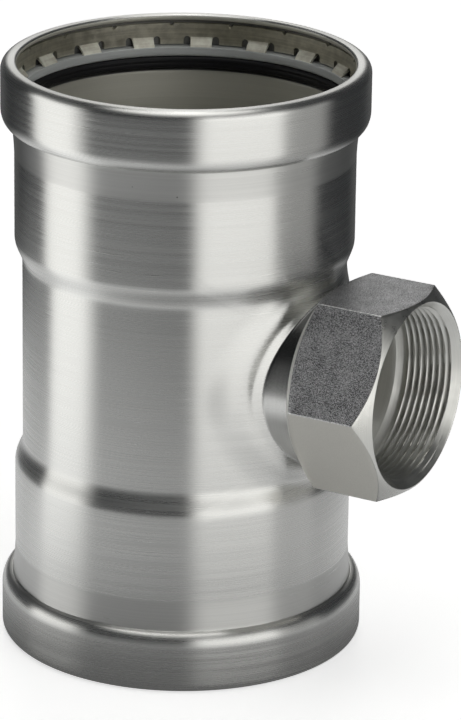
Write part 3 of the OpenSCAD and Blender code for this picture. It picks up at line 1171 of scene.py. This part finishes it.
class TEE_OT_build_seals(bpy.types.Operator):
    """Build the two rubber seals and the two separator rings"""
    bl_idname = "tee.build_seals"
    bl_label = "Build seals and separators"

    def execute(self, context):
        run = run_shape(in_mm(context.scene.tee_run))
        g = ring_shape(run, in_mm(context.scene.tee_rings))
        lip = g.guide_in - 0.1
        seal = [(g.collar_in - 0.01, g.seal_z + 0.02), (g.collar_in - 0.01, g.heel_z - 1.5),
                (g.collar_in - 1.5, g.heel_z - 0.01), (lip + 1.9, g.heel_z - 0.01)]
        seal += arc(lip + 1.4, g.heel_z - 1.5, 1.4, 135, 180, 6)
        seal += [(lip, g.seal_z + 2.25), (lip + 0.12, g.seal_z + 2), (lip, g.seal_z + 1.75)]
        seal += arc(lip + 1.3, g.seal_z + 1.32, 1.3, 180, 270, 8)
        edge = g.guide_in + 0.5
        separator = [(g.collar_in - 0.01, g.separator_z), (g.collar_in - 0.01, g.seal_z),
                     (edge + 0.9, g.seal_z)]
        separator += arc(edge + 0.9, g.seal_z - 0.9, 0.9, 90, 180, 6)[1:]
        separator += arc(edge + 0.35, g.separator_z + 0.35, 0.35, 180, 270, 4)
        rubber = seal_rubber(g.seal)
        plastic = separator_plastic(g.separator)
        for end, flip in (("lower", None), ("upper", run.run_length)):
            piece = ring_piece(end + "_seal_ring", seal, rubber, 192, flip)
            settle(piece, "seal_rubber", end + "_seal")
            piece = ring_piece(end + "_separator", separator, plastic, 192, flip)
            settle(piece, "separator_plastic", end + "_separator_ring")
        return {"FINISHED"}


# Stage

FLOOR_HALF = 3.0         # half the floor's width, in metres
AIM_RIGHT = 0.0158       # the camera aims this far to the right of the tee's middle
AIM_DOWN = 0.0045        # and this far below it
CAMERA_ROLL = 0.0136     # in radians
ROOM_LIGHT = 0.045       # strength of the room's own light, beside the boxes


def studio_light(stage):
    """A world of soft boxes: one on the left, a broad one on the right, one overhead.

    Angles are measured from the front of the tee as it is shown, and to the right.
    """
    world = bpy.data.worlds.new("studio")
    world.use_nodes = True
    bpy.context.scene.world = world
    tree = world.node_tree
    tree.nodes.clear()
    look = add(tree, "ShaderNodeTexCoord").outputs["Generated"]
    turn = stage.azimuth
    front, right = (sin(turn), -cos(turn), 0.0), (cos(turn), sin(turn), 0.0)

    def along(axis):
        return add(tree, "ShaderNodeVectorMath", {0: look, 1: axis},
                   operation="DOT_PRODUCT").outputs["Value"]

    side = times(tree, math(tree, "ARCTAN2", along(right), along(front)), 180 / pi)
    rise = times(tree, math(tree, "ARCSINE", along((0.0, 0.0, 1.0))), 180 / pi)

    def window(value, a, b, c, d):
        """1 between b and c, 0 before a and after d."""
        return times(tree, ramp(tree, value, a, b), ramp(tree, value, d, c))

    def lamp(strength, sides, rises):
        return times(tree, times(tree, window(side, *sides), window(rise, *rises)), strength)

    parts = [
        lamp(1.25, (-112, -103, -78, -59), (-75, -40, 18, 30)),    # left box
        lamp(0.75, (0, 14, 58, 68), (-75, -40, 30, 42)),           # right box
        lamp(0.37, (0, 16, 90, 104), (-75, -40, 14, 30)),          # its dimmer outer part
        lamp(0.30, (5, 18, 62, 80), (-20, 5, 30, 42)),             # its brighter upper part
        lamp(0.06, (-75, -50, 0, 20), (-80, -55, -12, 8)),         # pale floor in front
        lamp(0.06, (142, 158, 200, 201), (-75, -40, 0, 10)),       # backdrop, right
        lamp(0.06, (-201, -200, -158, -142), (-75, -40, 0, 10)),   # backdrop, left
        lamp(0.45, (-200, -199, 199, 200), (-200, -199, -66, -44)),  # floor below
        lamp(1.15, (165, 176, 200, 201), (6, 16, 75, 88)),         # wall behind, right
        lamp(1.15, (-201, -200, -176, -165), (6, 16, 75, 88)),     # wall behind, left
        lamp(1.6, (-200, -199, 199, 200), (60, 72, 200, 201)),     # overhead box
    ]
    total = parts[0]
    for part in parts[1:]:
        total = math(tree, "ADD", part, total)
    boxes = add(tree, "ShaderNodeBackground",
                {"Color": (1.0, 0.995, 0.975, 1.0), "Strength": times(tree, total, stage.light)})
    room = add(tree, "ShaderNodeBackground",
               {"Color": (0.92, 0.96, 1.0, 1.0), "Strength": ROOM_LIGHT * stage.light})
    both = add(tree, "ShaderNodeAddShader", {0: boxes.outputs[0], 1: room.outputs[0]})
    add(tree, "ShaderNodeOutputWorld", {"Surface": both.outputs[0]})
    world.cycles.sampling_method = "MANUAL"
    world.cycles.sample_map_resolution = 1024


def floor_paint(stage):
    """A pale, lit floor. What it gives back to the steel is a painted glow, bright only near the
    tee, with a painted shadow in front of its base.

    Further out the steel sees the studio's light through it, as in a glossy floor.
    """
    material, tree, at = new_material("floor_paint")
    base = tint(tree, noise(tree, at, 3.0), *shades(tuple(stage.floor), 0.99, 1.0))
    paint = add(tree, "ShaderNodeBsdfPrincipled",
                {"Base Color": base, "Roughness": 0.8, "Emission Color": tuple(stage.floor),
                 "Emission Strength": stage.floor_glow})
    turn = stage.azimuth

    def spot(right, back):
        """A point of the floor, seen from where the camera stands."""
        return (cos(turn) * right - sin(turn) * back, sin(turn) * right + cos(turn) * back, 0.0)

    def away(centre):
        return add(tree, "ShaderNodeVectorMath", {0: at, 1: centre},
                   operation="DISTANCE").outputs["Value"]

    # painted light and shade, seen only by the steel: a glow round the tee, a painted shadow near a
    # point in front of it, and more glow under the left box
    lit = times(tree, ramp(tree, away(spot(0.0, -0.035)), 0.06, 0.15, 0.22, 1.0),
                ramp(tree, away(spot(-0.07, 0.0)), 0.42, 0.21))
    under_left_box = ramp(tree, away(spot(-0.175, -0.01)), 0.10, 0.03)
    lit = times(tree, under_left_box, 0.38, lit)
    glow = add(tree, "ShaderNodeEmission",
               {"Color": (0.995, 1.0, 1.005, 1.0), "Strength": times(tree, lit, 0.71)})
    through = ramp(tree, away((0.0, 0.0, 0.0)), 0.12, 0.48)
    clear = add(tree, "ShaderNodeBsdfTransparent",
                {"Color": add(tree, "ShaderNodeCombineColor",
                              {0: through, 1: through, 2: through}).outputs[0]})
    seen = add(tree, "ShaderNodeAddShader", {0: clear.outputs[0], 1: glow.outputs[0]})
    direct = add(tree, "ShaderNodeLightPath").outputs["Is Camera Ray"]
    both = add(tree, "ShaderNodeMixShader",
               {0: direct, 1: seen.outputs[0], 2: paint.outputs[0]})
    add(tree, "ShaderNodeOutputMaterial", {"Surface": both.outputs[0]})
    return material


class TEE_OT_set_stage(bpy.types.Operator):
    """Set the floor, the light and the camera"""
    bl_idname = "tee.set_stage"
    bl_label = "Set stage"

    def execute(self, context):
        scene = context.scene
        stage = scene.tee_stage
        half = scene.tee_run.run_length / 2
        floor_mesh = bpy.data.meshes.new("floor")
        corners = ((-1, -1), (1, -1), (1, 1), (-1, 1))
        floor_mesh.from_pydata([(x * FLOOR_HALF, y * FLOOR_HALF, 0) for x, y in corners], [],
                               [(0, 1, 2, 3)])
        floor = bpy.data.objects.new("floor", floor_mesh)
        scene.collection.objects.link(floor)
        floor_mesh.materials.append(floor_paint(stage))
        floor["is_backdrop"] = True

        camera = bpy.data.objects.new("camera", bpy.data.cameras.new("camera"))
        scene.collection.objects.link(camera)
        turn, rise = stage.azimuth, stage.elevation
        out = Vector((sin(turn) * cos(rise), -cos(turn) * cos(rise), sin(rise)))
        right = Vector((cos(turn), sin(turn), 0.0))
        middle = Vector((0.0, 0.0, half))
        camera.location = middle + out * stage.distance
        target = middle + right * AIM_RIGHT - Vector((0.0, 0.0, AIM_DOWN))
        camera.rotation_euler = (target - camera.location).to_track_quat("-Z", "Y").to_euler()
        camera.rotation_euler.rotate_axis("Z", CAMERA_ROLL)
        camera.data.lens = stage.lens
        camera.data.sensor_width = 36.0
        camera.data.clip_end = 20.0
        scene.camera = camera
        scene.view_settings.view_transform = "Standard"
        scene.view_settings.look = "None"
        studio_light(stage)
        return {"FINISHED"}


class TEE_PT_panel(bpy.types.Panel):
    """The tee's settings and the steps that build it"""
    bl_idname = "TEE_PT_panel"
    bl_label = "Pipe Tee"
    bl_space_type = "VIEW_3D"
    bl_region_type = "UI"
    bl_category = "Pipe Tee"

    def draw(self, context):
        scene = context.scene
        for group, steps in ((scene.tee_run, (TEE_OT_build_run,)),
                             (scene.tee_branch, (TEE_OT_build_sleeve, TEE_OT_build_weld)),
                             (scene.tee_rings, (TEE_OT_build_cutting_rings,
                                                TEE_OT_build_seals)),
                             (scene.tee_stage, (TEE_OT_set_stage,))):
            box = self.layout.box()
            for name in group.__annotations__:
                box.prop(group, name)
            for step in steps:
                box.operator(step.bl_idname)


SETTINGS = {"tee_run": TeeRunSettings, "tee_rings": TeeRingSettings,
            "tee_branch": TeeBranchSettings, "tee_stage": TeeStageSettings}
STEPS = (TEE_OT_build_run, TEE_OT_build_sleeve, TEE_OT_build_weld,
         TEE_OT_build_cutting_rings, TEE_OT_build_seals, TEE_OT_set_stage)


def register():
    for group in SETTINGS.values():
        bpy.utils.register_class(group)
    for name, group in SETTINGS.items():
        setattr(bpy.types.Scene, name, PointerProperty(type=group))
    for step in STEPS + (TEE_PT_panel,):
        bpy.utils.register_class(step)


def unregister():
    for step in (TEE_PT_panel,) + STEPS[::-1]:
        bpy.utils.unregister_class(step)
    for name, group in SETTINGS.items():
        delattr(bpy.types.Scene, name)
        bpy.utils.unregister_class(group)


def main():
    register()
    bpy.ops.tee.build_run()
    bpy.ops.tee.build_sleeve()
    bpy.ops.tee.build_weld()
    bpy.ops.tee.build_cutting_rings()
    bpy.ops.tee.build_seals()
    bpy.ops.tee.set_stage()
    boxes = {"cad": CAD_BOX, "visual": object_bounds()}
    ({key: [list(map(float, corner)) for corner in box]
               for key, box in boxes.items()})


if __name__ == "__main__":
    main()
